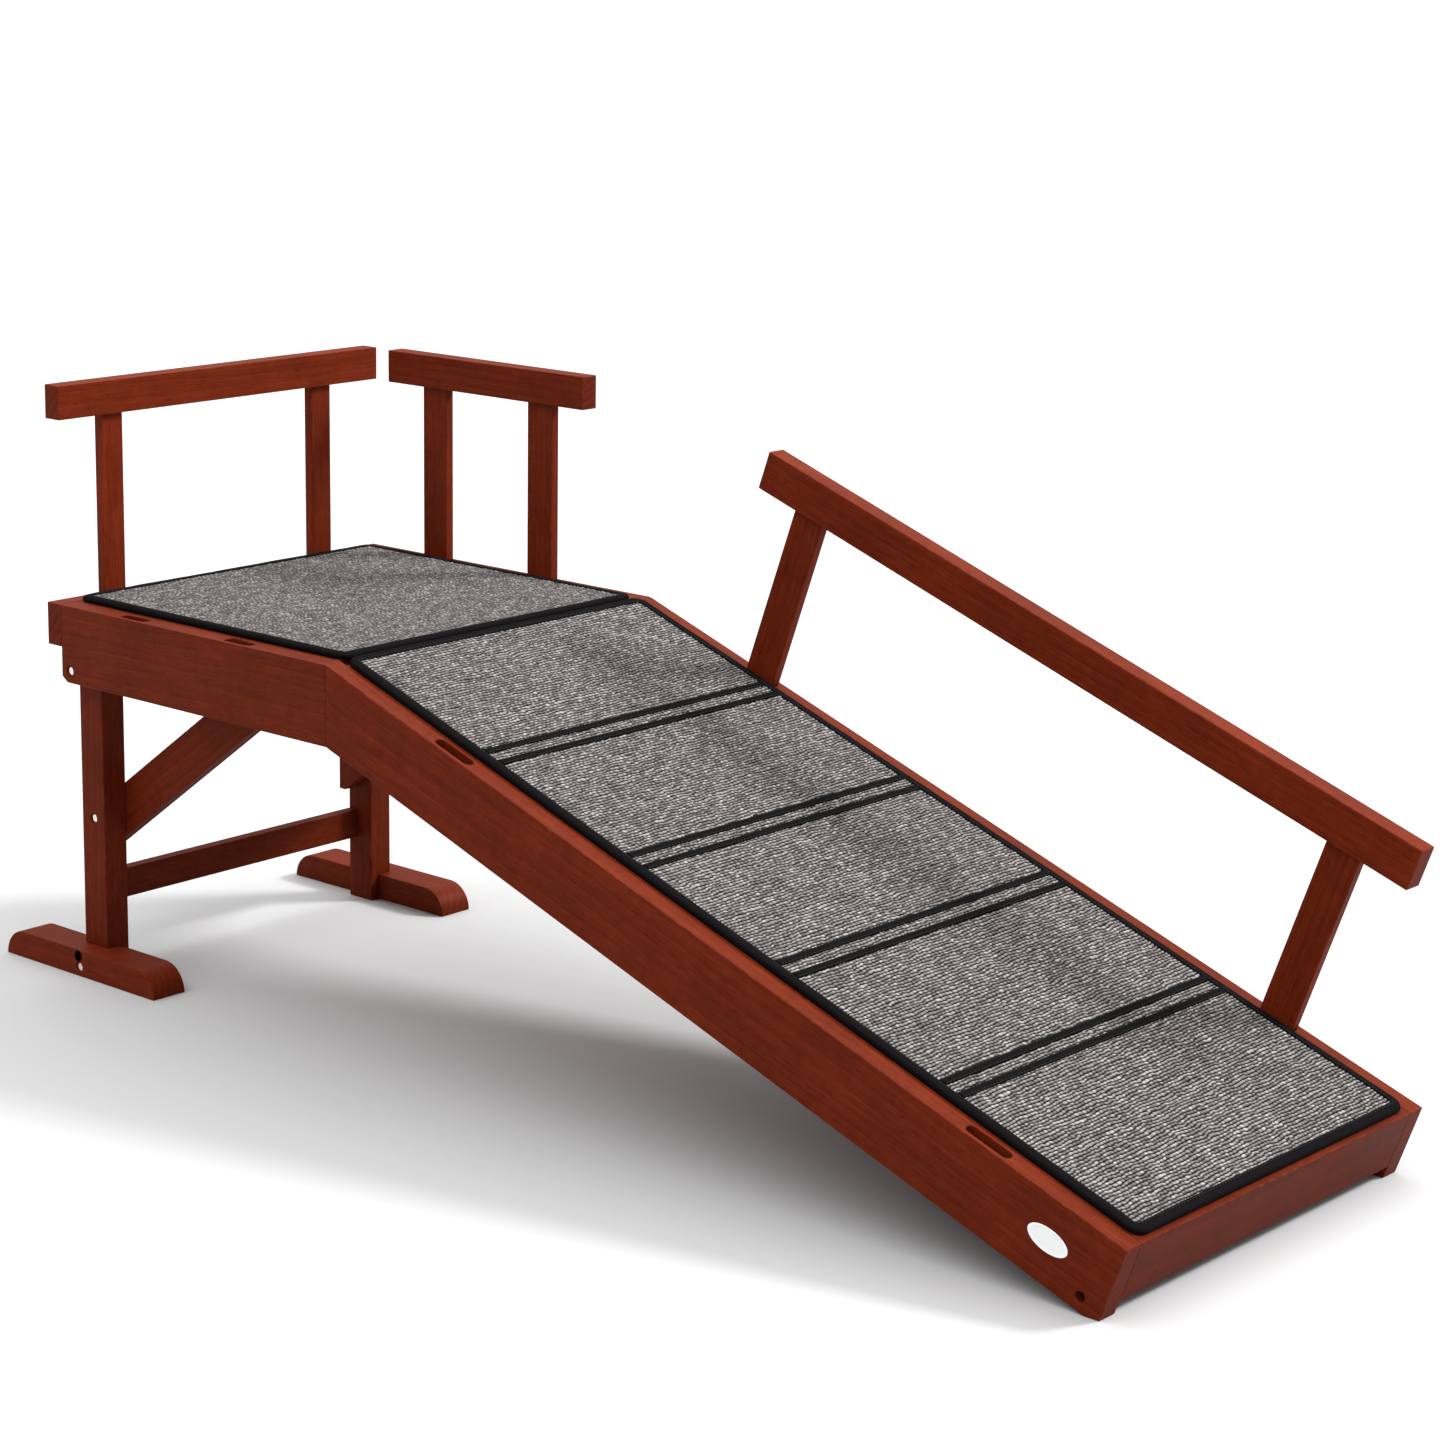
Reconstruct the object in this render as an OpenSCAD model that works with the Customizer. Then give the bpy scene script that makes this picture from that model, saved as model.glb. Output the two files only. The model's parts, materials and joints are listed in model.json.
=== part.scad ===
// Dog ramp with a level top platform, three lift-out handrails and bound carpet mats.
// X runs from the platform end (low X) down the ramp (high X), Y across, Z up.
// Left and right are as the dog sees them walking up: left is -Y, right is +Y.

/* [Overall] */
// Width over the side rails
frame_w = 405; // [380:5:440]
// Height of the platform's walking surface
deck_h = 348; // [340:2:370]
// Length of the level platform, from the end board's face to the bend
platform_l = 370; // [360:5:400]
// Length of the sloping top edge, from the bend to the low end
ramp_l = 870; // [850:5:1000]
// Height of the top corner at the ramp's low end
low_end_h = 59; // [56:1:62]

/* [Boards] */
// Thickness of side rails, end boards and battens
board_t = 19; // [18:1:20]
// Depth of the side rails, measured plumb
rail_depth = 71; // [69:1:76]
// Depth of the platform's end board
end_board_h = 39; // [37:1:40]
// Depth of the ramp's low end board, square to the slope
low_board_h = 52; // [44:1:56]
// Thickness of the plywood decks
deck_t = 9; // [9:1:12]

/* [Stand] */
// Width of a leg along X
leg_w = 31; // [28:1:34]
// Thickness of a leg across Y
leg_t = 26; // [24:1:28]
// Length of a floor foot
foot_l = 212; // [180:2:240]
// Height of a floor foot
foot_h = 25; // [24:1:28]
// Width of a floor foot
foot_w = 37; // [34:1:38]
// Width of a diagonal brace
brace_w = 41; // [36:1:42]
// Thickness of a diagonal brace
brace_t = 13; // [11:1:14]
// Rise angle of the braces
brace_angle = 36; // [34:1:38]

/* [Handrails] */
// Thickness of a handrail bar
bar_t = 19; // [17:1:19]
// Height of the end and side handrails above the platform
handrail_h = 198; // [170:0.5:210]
// Height of an end or side handrail bar
bar_h = 31; // [26:0.5:34]
// Height of the ramp handrail bar
ramp_bar_h = 36; // [30:1:38]
// Width of an end handrail post
end_post_w = 25; // [22:0.5:28]
// Width of a side handrail post
side_post_w = 31.5; // [28:0.5:33]
// Width of a ramp handrail post
ramp_post_w = 33; // [28:0.5:36]
// Thickness of a handrail post
post_t = 9.5; // [9:0.5:10]

/* [Mats] */
// Thickness of a mat at its bound edge
mat_t = 5; // [4:0.5:6]
// Width of the edge binding
binding_w = 8; // [6:1:10]
// Distance from a rail's inner face to the platform mat
platform_mat_gap = 2.5; // [0.5:0.5:8]
// Distance from a rail's inner face to the ramp mat
ramp_mat_gap = 0.5; // [0.5:0.5:8]

/* [Hidden] */
$fn = 48;

mahogany = [0.42, 0.13, 0.08];
dowel_wood = [0.62, 0.42, 0.26];
steel = [0.75, 0.75, 0.77];
webbing = [0.08, 0.08, 0.09];

half_w = frame_w / 2;
inner_y = half_w - board_t;
rail_y = half_w - board_t / 2;

ramp_angle = asin((deck_h - low_end_h) / ramp_l);
ramp_depth = rail_depth * cos(ramp_angle);
low_end_x = platform_l + ramp_l * cos(ramp_angle);
rail_bottom = deck_h - rail_depth;

// The stand: leg, foot and bolts share one centre line
stand_x = 30;
spacer_t = 4;
leg_outer_y = inner_y - spacer_t;
leg_inner_y = leg_outer_y - leg_t;
leg_top = deck_h - 45;
leg_bolt_z = rail_bottom + 11;
foot_outer_y = half_w - 2;
foot_inner_y = foot_outer_y - foot_w;
brace_bolt_z = 146;
brace_drop = 3.4;
brace_foot_z = 112;
brace_inner_y = leg_inner_y - brace_t;
stretcher_t = 12;
stretcher_x = stand_x - leg_w / 2 + stretcher_t / 2;
stretcher_z = [62, 90];

// Ledgers and battens under the decks
ledger_h = 24;
platform_ledger_t = inner_y - leg_inner_y;
deck_end_gap = 6;
under_deck = deck_h - deck_t;
batten_w = 39;

// Handrail posts and the slots that hold them
slot_w = 10.5;
slot_spare = 1;
open_platform_slot_l = 35;
open_ramp_slot_l = 42;
slot_depth = 40;
end_slot_depth = 33;
seat_gap = 0.3;
mortise = 18;
tenon_t = 8;
tenon_shoulder = 2;
tenon_gap = 1;
side_posts = [101.5, 241];
end_posts = [-135, 120.5];
ramp_posts = [153, 734];
open_platform_slots = [112.5, 251];
end_bar = [-199.5, 190.5];
side_bar = [42, 300];
ramp_bar = [95, 797];
ramp_handrail_h = 198;

// Mats
platform_mat = [board_t - 2.5, platform_l - 0.5, inner_y - platform_mat_gap];
ramp_mat = [2, ramp_l - 5, inner_y - ramp_mat_gap];
mat_corner_r = 12;
tape_t = 1;
stripe_w = 7;
stripe_gap = 18;
stripe_t = 0.6;
stripe_pairs = [0.203, 0.399, 0.589, 0.785];

// Open hole through each ramp rail near its low end
low_bore_d = 8.5;
low_bore_in = 21;
low_bore_up = 11.5;

// Screws and bolts
bolt_d = 5;
bolt_head_d = 8.5;
bolt_head_h = 5;
bolt_head_bevel = 0.5;
socket_d = 3;
socket_depth = 1.2;
insert_d = 8;
insert_l = 7;
counterbore_d = 9;
nut_h = 4;
wood_screw_d = 4;
plate_t = 2;
plate_reach = 60;
plate_z = [rail_bottom + 6, rail_bottom + 34];

// Whole part is centred on its footprint
back_x = stand_x - foot_l / 2;
mid_x = (back_x + low_end_x) / 2;

module placed() translate([-mid_x, 0, 0]) children();

// Local X runs down the slope from the bend and local Z stands square to it
module ramp_frame() translate([platform_l, 0, deck_h]) rotate([0, ramp_angle, 0]) children();

module left_copy() mirror([0, 1, 0]) children();

module both_sides() {
    children();
    mirror([0, 1, 0]) children();
}

// Board standing in the XZ plane, from the outline, between two Y positions
module upright_board(outline, y0, y1)
    translate([0, y1, 0]) rotate([90, 0, 0]) linear_extrude(y1 - y0) polygon(outline);

// Block from its low corner to its high corner
module block(low, high) translate(low) cube(high - low);

// Round bar or hole along Y, between two Y positions
module round_y(x, z, d, y0, y1) translate([x, y0, z]) rotate([-90, 0, 0]) cylinder(d = d, h = y1 - y0);

// Round-ended slot along X, cut down from local Z = 0
module slot_cut(l, w, depth) {
    straight = l - w;
    translate([-straight / 2, -w / 2, -depth]) cube([straight, w, depth + 1]);
    for (end = [-1, 1]) translate([end * straight / 2, 0, -depth]) cylinder(d = w, h = depth + 1);
}

// Slab with rounded corners, long side on X, centred on Y
module rounded_slab(x0, x1, half_y, r, z0, z1) {
    translate([x0 + r, -half_y, z0]) cube([x1 - x0 - 2 * r, 2 * half_y, z1 - z0]);
    translate([x0, -half_y + r, z0]) cube([x1 - x0, 2 * (half_y - r), z1 - z0]);
    for (x = [x0 + r, x1 - r]) for (y = [-half_y + r, half_y - r])
        translate([x, y, z0]) cylinder(r = r, h = z1 - z0);
}

/* ---- Fasteners ---- */

// Connector bolt along -Y, with the underside of its bevelled head at Y = 0
module socket_bolt(l) {
    difference() {
        union() {
            round_y(0, 0, bolt_head_d, 0, bolt_head_h - bolt_head_bevel);
            translate([0, bolt_head_h - bolt_head_bevel, 0]) rotate([-90, 0, 0])
                cylinder(d1 = bolt_head_d, d2 = bolt_head_d - 3 * bolt_head_bevel, h = bolt_head_bevel);
        }
        translate([0, bolt_head_h - socket_depth, 0]) rotate([-90, 0, 0])
            cylinder(d = socket_d, h = socket_depth + 1, $fn = 6);
    }
    round_y(0, 0, bolt_d, -l, 0);
}

// Hexagon nut along Y, from Y = 0 to its height
module hex_nut() difference() {
    rotate([-90, 0, 0]) cylinder(d = 9.2, h = nut_h, $fn = 6);
    round_y(0, 0, bolt_d + 0.1, -1, nut_h + 1);
}

// Threaded insert pressed in along -Y from Y = 0
module threaded_insert() difference() {
    round_y(0, 0, insert_d, -insert_l, 0);
    round_y(0, 0, bolt_d + 0.1, -insert_l - 1, 1);
}

// Countersunk wood screw down -Z, with its flat head at Z = 0
module wood_screw(l) {
    translate([0, 0, -2.2]) cylinder(d1 = wood_screw_d, d2 = 8, h = 2.2);
    translate([0, 0, -l]) cylinder(d = wood_screw_d, h = l - 2.2);
}

// Room for that screw
module screw_hole(l) {
    translate([0, 0, -2.2]) cylinder(d1 = wood_screw_d, d2 = 8, h = 2.2);
    translate([0, 0, -l]) cylinder(d = wood_screw_d, h = l);
    cylinder(d = 8, h = 1);
}

// Hole for a socket-head bolt sunk into a face at y_face, through to y_end
module bolt_hole(x, z, y_face, sink, y_end) {
    round_y(x, z, counterbore_d, y_face - sink, y_face + 1);
    round_y(x, z, bolt_d + 0.1, y_end, y_face);
}

leg_bolt_sink = 7;
brace_bolt_sink = 7;
foot_bolts_at = [[19, 17], [8.5, 7]];
foot_bolt_end_y = foot_inner_y - insert_l + 0.5;
brace_top_z = deck_h - 21;
brace_top_x = stand_x + (brace_top_z - brace_bolt_z + brace_drop) / tan(brace_angle);
brace_top_bolt_l = 35;
dowel_d = 6;
dowel_reach = 15;
stretcher_dowels_z = [69, 83];
end_dowels_d = [15, 38];
platform_deck_screws_x = [60, 190, 320];
platform_deck_screw_y = 168.5;
ramp_deck_screws_x = [60, 240, 430, 620, 800];
ramp_deck_screw_y = 174;
deck_screw_l = 25;
end_screws_z = [deck_h - 10, deck_h - 30];
end_screw_l = 45;
platform_ledger_screws_x = [78, 205, 340];
platform_ledger_screw_l = 42;
ramp_ledger_screws_x = [80, 280, 470, 660, 770];
ramp_ledger_screw_l = 32;
ledger_screw_drop = 15;
plate_screws_x = [-45, -18, 18, 45];
plate_screw_l = 13;

module plate_screw_place() for (dx = plate_screws_x) {
    z = (plate_z[0] + plate_z[1]) / 2 - max(dx, 0) * tan(ramp_angle);
    translate([platform_l + dx, inner_y - plate_t, z]) rotate([90, 0, 0]) children();
}

module end_screw_place() for (y = [-rail_y, rail_y]) for (z = end_screws_z)
    translate([0, y, z]) rotate([0, -90, 0]) children();

module platform_deck_screw_place() for (x = platform_deck_screws_x)
    for (s = [-1, 1]) translate([x, s * platform_deck_screw_y, deck_h]) children();

module ramp_deck_screw_place() for (x = ramp_deck_screws_x)
    for (s = [-1, 1]) translate([x, s * ramp_deck_screw_y, 0]) children();

module platform_ledger_screw_place() for (x = platform_ledger_screws_x)
    translate([x, leg_inner_y, under_deck - ledger_screw_drop]) rotate([90, 0, 0]) children();

module ramp_ledger_screw_place() for (x = ramp_ledger_screws_x)
    translate([x, inner_y - board_t, -deck_t - ledger_screw_drop]) rotate([90, 0, 0]) children();

/* ---- Platform ---- */

module platform_rail(slots, slot_l) difference() {
    upright_board([
        [board_t, deck_h], [platform_l, deck_h], [platform_l, rail_bottom],
        [board_t + 7, rail_bottom], [board_t, rail_bottom + 5]
    ], inner_y, half_w);
    for (x = slots) translate([x, rail_y, deck_h]) slot_cut(slot_l, slot_w, slot_depth);
    bolt_hole(stand_x, leg_bolt_z, half_w, leg_bolt_sink, inner_y - 1);
    plate_screw_place() screw_hole(plate_screw_l);
    end_screw_place() screw_hole(end_screw_l);
    platform_ledger_screw_place() screw_hole(platform_ledger_screw_l);
}

module platform_rail_right() color(mahogany) placed() platform_rail(side_posts, side_post_w + slot_spare);
module platform_rail_left() color(mahogany) placed() left_copy()
    platform_rail(open_platform_slots, open_platform_slot_l);

module platform_end_board() color(mahogany) placed() difference() {
    block([0, -half_w, deck_h - end_board_h], [board_t, half_w, deck_h]);
    for (y = end_posts) translate([board_t / 2, y, deck_h]) rotate([0, 0, 90])
        slot_cut(end_post_w + slot_spare, slot_w, end_slot_depth);
    end_screw_place() screw_hole(end_screw_l);
}

module platform_deck() color(mahogany) placed() difference() {
    block([board_t, -inner_y, under_deck], [platform_l - deck_end_gap, inner_y, deck_h]);
    platform_deck_screw_place() screw_hole(deck_screw_l);
}

module platform_ledger() difference() {
    block([board_t, leg_inner_y, under_deck - ledger_h], [platform_l - deck_end_gap, inner_y, under_deck]);
    platform_deck_screw_place() screw_hole(deck_screw_l);
    platform_ledger_screw_place() screw_hole(platform_ledger_screw_l);
    round_y(brace_top_x, brace_top_z, bolt_d, brace_inner_y, brace_inner_y + brace_top_bolt_l);
}

module platform_ledger_right() color(mahogany) placed() platform_ledger();
module platform_ledger_left() color(mahogany) placed() left_copy() platform_ledger();

module platform_batten() color(mahogany) placed() translate([platform_l / 2 - batten_w / 2, 0, 0])
    block([0, -leg_inner_y, under_deck - board_t], [batten_w, leg_inner_y, under_deck]);

module bend_batten() color(mahogany) placed()
    block([platform_l - deck_end_gap - board_t, -leg_inner_y, under_deck - batten_w],
        [platform_l - deck_end_gap, leg_inner_y, under_deck]);

/* ---- Ramp ---- */

module ramp_rail(slot_l) difference() {
    upright_board([
        [platform_l, deck_h], [low_end_x, low_end_h],
        [low_end_x - low_end_h * tan(ramp_angle), 0],
        [platform_l + rail_bottom / tan(ramp_angle), 0], [platform_l, rail_bottom]
    ], inner_y, half_w);
    plate_screw_place() screw_hole(plate_screw_l);
    ramp_frame() {
        for (x = ramp_posts) translate([x, rail_y, 0]) slot_cut(slot_l, slot_w, slot_depth);
        round_y(ramp_l - low_bore_in, low_bore_up - ramp_depth, low_bore_d, inner_y - 1, half_w + 1);
        for (d = end_dowels_d)
            round_y(ramp_l - board_t / 2, -d, dowel_d, inner_y - 1, inner_y + dowel_reach);
        ramp_ledger_screw_place() screw_hole(ramp_ledger_screw_l);
    }
}

module ramp_rail_right() color(mahogany) placed() ramp_rail(ramp_post_w + slot_spare);
module ramp_rail_left() color(mahogany) placed() left_copy() ramp_rail(open_ramp_slot_l);

module ramp_end_board() color(mahogany) placed() ramp_frame() difference() {
    block([ramp_l - board_t, -inner_y, -low_board_h], [ramp_l, inner_y, 0]);
    both_sides() for (d = end_dowels_d)
        round_y(ramp_l - board_t / 2, -d, dowel_d, inner_y - dowel_reach, inner_y + 1);
}

module ramp_deck() color(mahogany) placed() ramp_frame() difference() {
    block([deck_end_gap, -inner_y, -deck_t], [ramp_l - board_t, inner_y, 0]);
    ramp_deck_screw_place() screw_hole(deck_screw_l);
}

module ramp_ledger() ramp_frame() difference() {
    block([deck_end_gap, inner_y - board_t, -deck_t - ledger_h], [ramp_l - board_t, inner_y, -deck_t]);
    ramp_deck_screw_place() screw_hole(deck_screw_l);
    ramp_ledger_screw_place() screw_hole(ramp_ledger_screw_l);
}

module ramp_ledger_right() color(mahogany) placed() ramp_ledger();
module ramp_ledger_left() color(mahogany) placed() left_copy() ramp_ledger();

// Cross batten under the ramp deck: start, width along the slope, depth
module ramp_batten(x, w, depth) color(mahogany) placed() ramp_frame()
    block([x, -(inner_y - board_t), -deck_t - depth], [x + w, inner_y - board_t, -deck_t]);

module ramp_batten_top() ramp_batten(deck_end_gap + board_t, board_t, batten_w);
module ramp_batten_upper() ramp_batten(ramp_l * 0.25 - batten_w / 2, batten_w, board_t);
module ramp_batten_middle() ramp_batten(ramp_l * 0.5 - batten_w / 2, batten_w, board_t);
module ramp_batten_lower() ramp_batten(ramp_l * 0.75 - batten_w / 2, batten_w, board_t);

// Steel plate inside the bend, screwed to both rails
module joint_plate() difference() {
    drop = plate_reach * tan(ramp_angle);
    upright_board([
        [platform_l - plate_reach, plate_z[0]], [platform_l, plate_z[0]],
        [platform_l + plate_reach, plate_z[0] - drop], [platform_l + plate_reach, plate_z[1] - drop],
        [platform_l, plate_z[1]], [platform_l - plate_reach, plate_z[1]]
    ], inner_y - plate_t, inner_y);
    plate_screw_place() screw_hole(plate_screw_l);
}

module joint_plate_right() color(steel) placed() joint_plate();
module joint_plate_left() color(steel) placed() left_copy() joint_plate();

/* ---- Stand ---- */

module leg() difference() {
    block([stand_x - leg_w / 2, leg_inner_y, 0], [stand_x + leg_w / 2, leg_outer_y, leg_top]);
    block([stand_x - leg_w, foot_inner_y, -1], [stand_x + leg_w, half_w, foot_h]);
    round_y(stand_x, leg_bolt_z, bolt_d + 0.1, leg_inner_y - 1, leg_outer_y + 1);
    bolt_hole(stand_x, brace_bolt_z, leg_outer_y, brace_bolt_sink, leg_inner_y - 1);
    for (f = foot_bolts_at) {
        round_y(stand_x, f[0], bolt_d + 0.1, foot_bolt_end_y - 1, foot_inner_y + 1);
        round_y(stand_x, f[0], insert_d, foot_inner_y - insert_l, foot_inner_y + 1);
    }
    for (z = stretcher_dowels_z) round_y(stretcher_x, z, dowel_d, leg_inner_y - 1, leg_inner_y + dowel_reach);
}

module leg_right() color(mahogany) placed() leg();
module leg_left() color(mahogany) placed() left_copy() leg();

// Floor foot with quarter-round ends
module foot() difference() {
    union() {
        block([back_x + foot_h, foot_inner_y, 0], [back_x + foot_l - foot_h, foot_outer_y, foot_h]);
        intersection() {
            for (x = [back_x + foot_h, back_x + foot_l - foot_h])
                round_y(x, 0, 2 * foot_h, foot_inner_y, foot_outer_y);
            block([back_x, foot_inner_y, 0], [back_x + foot_l, foot_outer_y, foot_h]);
        }
    }
    for (f = foot_bolts_at) bolt_hole(stand_x, f[0], foot_outer_y, f[1], foot_inner_y - 1);
}

module foot_right() color(mahogany) placed() foot();
module foot_left() color(mahogany) placed() left_copy() foot();

module leg_stretcher() color(mahogany) placed() difference() {
    block([stretcher_x - stretcher_t / 2, -leg_inner_y, stretcher_z[0]],
        [stretcher_x + stretcher_t / 2, leg_inner_y, stretcher_z[1]]);
    both_sides() for (z = stretcher_dowels_z)
        round_y(stretcher_x, z, dowel_d, leg_inner_y - dowel_reach, leg_inner_y + 1);
}

// Diagonal brace on the leg's inner face, up to the ledger
module brace() difference() {
    back = stand_x - leg_w / 2;
    half_plumb = brace_w / 2 / cos(brace_angle);
    slope = tan(brace_angle);
    mid_z = brace_bolt_z - brace_drop + (back - stand_x) * slope;
    upright_board([
        [back, mid_z + half_plumb], [back, brace_foot_z],
        [back + (brace_foot_z - mid_z + half_plumb) / slope, brace_foot_z],
        [back + (under_deck - mid_z + half_plumb) / slope, under_deck],
        [back + (under_deck - mid_z - half_plumb) / slope, under_deck]
    ], brace_inner_y, leg_inner_y);
    round_y(stand_x, brace_bolt_z, bolt_d + 0.1, brace_inner_y - 1, leg_inner_y + 1);
    round_y(brace_top_x, brace_top_z, bolt_d + 0.1, brace_inner_y - 1, leg_inner_y + 1);
}

module brace_right() color(mahogany) placed() brace();
module brace_left() color(mahogany) placed() left_copy() brace();

/* ---- Handrails ---- */

// Tenon of a post centred on local X, and the hole for it
module tenon(x, post_w, z0, z1)
    block([x - post_w / 2 + tenon_shoulder, -tenon_t / 2, z0], [x + post_w / 2 - tenon_shoulder, tenon_t / 2, z1]);

// Bar along X above local Z = 0, with mortises in its underside for the posts
module handrail_bar(ends, z0, h, posts, post_w) difference() {
    block([ends[0], -bar_t / 2, z0], [ends[1], bar_t / 2, z0 + h]);
    for (x = posts) tenon(x, post_w, z0 - 1, z0 + mortise);
}

// Post centred on local X, with a tenon down into its slot and another up into the bar
module handrail_post(x, post_w, depth, bar_z) union() {
    block([x - post_w / 2, -post_t / 2, seat_gap], [x + post_w / 2, post_t / 2, bar_z]);
    tenon(x, post_w, tenon_gap - depth, bar_z + mortise);
}

bar_z = handrail_h - bar_h;
ramp_bar_z = ramp_handrail_h - ramp_bar_h;

module end_rail_frame() translate([board_t / 2, 0, deck_h]) rotate([0, 0, 90]) children();
module side_rail_frame() translate([0, rail_y, deck_h]) children();
module ramp_rail_frame() ramp_frame() translate([0, rail_y, 0]) children();

module end_handrail_bar() color(mahogany) placed() end_rail_frame()
    handrail_bar(end_bar, bar_z, bar_h, end_posts, end_post_w);
module end_handrail_post_left() color(mahogany) placed() end_rail_frame()
    handrail_post(end_posts[0], end_post_w, end_slot_depth, bar_z);
module end_handrail_post_right() color(mahogany) placed() end_rail_frame()
    handrail_post(end_posts[1], end_post_w, end_slot_depth, bar_z);

module side_handrail_bar() color(mahogany) placed() side_rail_frame()
    handrail_bar(side_bar, bar_z, bar_h, side_posts, side_post_w);
module side_handrail_post_rear() color(mahogany) placed() side_rail_frame()
    handrail_post(side_posts[0], side_post_w, slot_depth, bar_z);
module side_handrail_post_front() color(mahogany) placed() side_rail_frame()
    handrail_post(side_posts[1], side_post_w, slot_depth, bar_z);

module ramp_handrail_bar() color(mahogany) placed() ramp_rail_frame()
    handrail_bar(ramp_bar, ramp_bar_z, ramp_bar_h, ramp_posts, ramp_post_w);
module ramp_handrail_post_upper() color(mahogany) placed() ramp_rail_frame()
    handrail_post(ramp_posts[0], ramp_post_w, slot_depth, ramp_bar_z);
module ramp_handrail_post_lower() color(mahogany) placed() ramp_rail_frame()
    handrail_post(ramp_posts[1], ramp_post_w, slot_depth, ramp_bar_z);

/* ---- Mats ---- */

module mat_carpet(m) rounded_slab(m[0] + binding_w, m[1] - binding_w, m[2] - binding_w,
    mat_corner_r - binding_w, tape_t, mat_t);

module mat_binding(m) difference() {
    rounded_slab(m[0], m[1], m[2], mat_corner_r, 0, mat_t);
    rounded_slab(m[0] + binding_w, m[1] - binding_w, m[2] - binding_w,
        mat_corner_r - binding_w, -1, mat_t + 1);
}

// Two lengths of hook tape between the deck and the mat
module hook_tape(m) both_sides() block([m[0] + 30, m[2] - 60, 0], [m[1] - 30, m[2] - 35, tape_t]);

module platform_carpet() color("gray") placed() translate([0, 0, deck_h]) mat_carpet(platform_mat);
module platform_binding() color(webbing) placed() translate([0, 0, deck_h]) mat_binding(platform_mat);
module platform_hook_tape() color("black") placed() translate([0, 0, deck_h]) hook_tape(platform_mat);
module ramp_carpet() color("gray") placed() ramp_frame() mat_carpet(ramp_mat);
module ramp_binding() color(webbing) placed() ramp_frame() mat_binding(ramp_mat);
module ramp_hook_tape() color("black") placed() ramp_frame() hook_tape(ramp_mat);

// Woven tapes sewn across the ramp mat, in pairs
module ramp_stripes() color(webbing) placed() ramp_frame()
    for (part = stripe_pairs) for (side = [-1, 1]) {
        x = ramp_mat[0] + part * (ramp_mat[1] - ramp_mat[0]) + side * stripe_gap / 2;
        block([x - stripe_w / 2, -(ramp_mat[2] - binding_w), mat_t],
            [x + stripe_w / 2, ramp_mat[2] - binding_w, mat_t + stripe_t]);
    }

// Plain oval plate on the left ramp rail, near the low end
badge_size = [37, 18.5, 0.4];
module badge() color("white") placed() ramp_frame() translate([ramp_l - 60, -half_w, -ramp_depth / 2 + 1])
    rotate([90, 0, 0]) linear_extrude(badge_size[2])
        polygon([for (a = [0:7.5:352.5]) [badge_size[0] / 2 * cos(a), badge_size[1] / 2 * sin(a)]]);

/* ---- Fastener sets ---- */

module leg_bolts() color(steel) placed() both_sides()
    translate([stand_x, half_w - leg_bolt_sink, leg_bolt_z])
        socket_bolt(half_w - leg_bolt_sink - leg_inner_y + nut_h);

module leg_spacers() color("black") placed() both_sides() difference() {
    round_y(stand_x, leg_bolt_z, 20, leg_outer_y, inner_y);
    round_y(stand_x, leg_bolt_z, bolt_d + 0.1, leg_outer_y - 1, inner_y + 1);
}

module brace_bolts() color(steel) placed() both_sides()
    translate([stand_x, leg_outer_y - brace_bolt_sink, brace_bolt_z])
        socket_bolt(leg_outer_y - brace_bolt_sink - brace_inner_y + nut_h);

// These enter from the inner side, so the head faces the middle
module brace_top_bolts() color(steel) placed() both_sides()
    translate([brace_top_x, brace_inner_y, brace_top_z]) mirror([0, 1, 0]) socket_bolt(brace_top_bolt_l);

module foot_bolts() color(steel) placed() both_sides() for (f = foot_bolts_at)
    translate([stand_x, foot_outer_y - f[1], f[0]]) socket_bolt(foot_outer_y - f[1] - foot_bolt_end_y);

module bolt_nuts() color(steel) placed() both_sides() {
    translate([stand_x, leg_inner_y - nut_h, leg_bolt_z]) hex_nut();
    translate([stand_x, brace_inner_y - nut_h, brace_bolt_z]) hex_nut();
    for (f = foot_bolts_at) translate([stand_x, foot_inner_y, f[0]]) threaded_insert();
}

module joint_plate_screws() color(steel) placed() both_sides() plate_screw_place() wood_screw(plate_screw_l);
module end_board_screws() color(steel) placed() end_screw_place() wood_screw(end_screw_l);
module platform_deck_screws() color(steel) placed() platform_deck_screw_place() wood_screw(deck_screw_l);
module ramp_deck_screws() color(steel) placed() ramp_frame() ramp_deck_screw_place() wood_screw(deck_screw_l);

module ledger_screws() color(steel) placed() both_sides() {
    platform_ledger_screw_place() wood_screw(platform_ledger_screw_l);
    ramp_frame() ramp_ledger_screw_place() wood_screw(ramp_ledger_screw_l);
}

module stretcher_dowels() color(dowel_wood) placed() both_sides() for (z = stretcher_dowels_z)
    round_y(stretcher_x, z, dowel_d, leg_inner_y - dowel_reach, leg_inner_y + dowel_reach);

module ramp_end_dowels() color(dowel_wood) placed() both_sides() ramp_frame() for (d = end_dowels_d)
    round_y(ramp_l - board_t / 2, -d, dowel_d, inner_y - dowel_reach, inner_y + dowel_reach);

platform_rail_left();
platform_rail_right();
platform_end_board();
platform_deck();
platform_ledger_left();
platform_ledger_right();
platform_batten();
bend_batten();
ramp_rail_left();
ramp_rail_right();
ramp_end_board();
ramp_deck();
ramp_ledger_left();
ramp_ledger_right();
ramp_batten_top();
ramp_batten_upper();
ramp_batten_middle();
ramp_batten_lower();
joint_plate_left();
joint_plate_right();
leg_left();
leg_right();
foot_left();
foot_right();
leg_stretcher();
brace_left();
brace_right();
end_handrail_bar();
end_handrail_post_left();
end_handrail_post_right();
side_handrail_bar();
side_handrail_post_rear();
side_handrail_post_front();
ramp_handrail_bar();
ramp_handrail_post_upper();
ramp_handrail_post_lower();
platform_carpet();
platform_binding();
platform_hook_tape();
ramp_carpet();
ramp_binding();
ramp_stripes();
ramp_hook_tape();
badge();
leg_bolts();
leg_spacers();
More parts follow.
